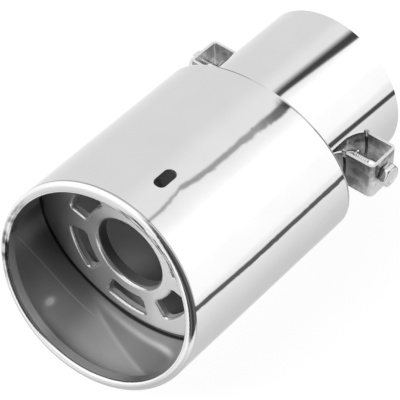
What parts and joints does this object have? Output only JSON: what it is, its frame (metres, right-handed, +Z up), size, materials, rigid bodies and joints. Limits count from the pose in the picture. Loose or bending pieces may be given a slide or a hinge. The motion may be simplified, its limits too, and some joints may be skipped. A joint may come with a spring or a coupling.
{
  "type": "exhaust tip",
  "caption": "Oval slash-cut exhaust tip with a rolled lip, a slotted inner face plate and a round inlet pipe clamped by side bolts.",
  "frame": {"origin": "centre of the inlet pipe's mouth", "axes": "+Y along the pipe, out of the inlet; +X the oval's wide direction, through the clamp bolts; +Z up"},
  "size_m": [0.0948, 0.1468, 0.0662],
  "materials": {
    "polished_steel": "mirror polished stainless",
    "stamped_steel": "satin stainless",
    "bracket_steel": "rolled sheet",
    "zinc_bolt": "bright zinc plate"
  },
  "bodies": {
    "tip": {"outer_barrel": "polished_steel", "inlet_pipe": "polished_steel", "inner_face_plate": "stamped_steel", "rear_end_plate": "stamped_steel", "clamp_bracket_left": "bracket_steel", "clamp_bracket_right": "bracket_steel"},
    "bolt_left": {"clamp_bolt_left": "zinc_bolt"},
    "bolt_right": {"clamp_bolt_right": "zinc_bolt"}
  },
  "joints": [
    {"name": "bolt_left_travel", "type": "slide", "parent": "tip", "child": "bolt_left", "axis": [-1, 0, 0], "range_m": [0, 0.008]},
    {"name": "bolt_right_travel", "type": "slide", "parent": "tip", "child": "bolt_right", "axis": [1, 0, 0], "range_m": [0, 0.008]}
  ]
}
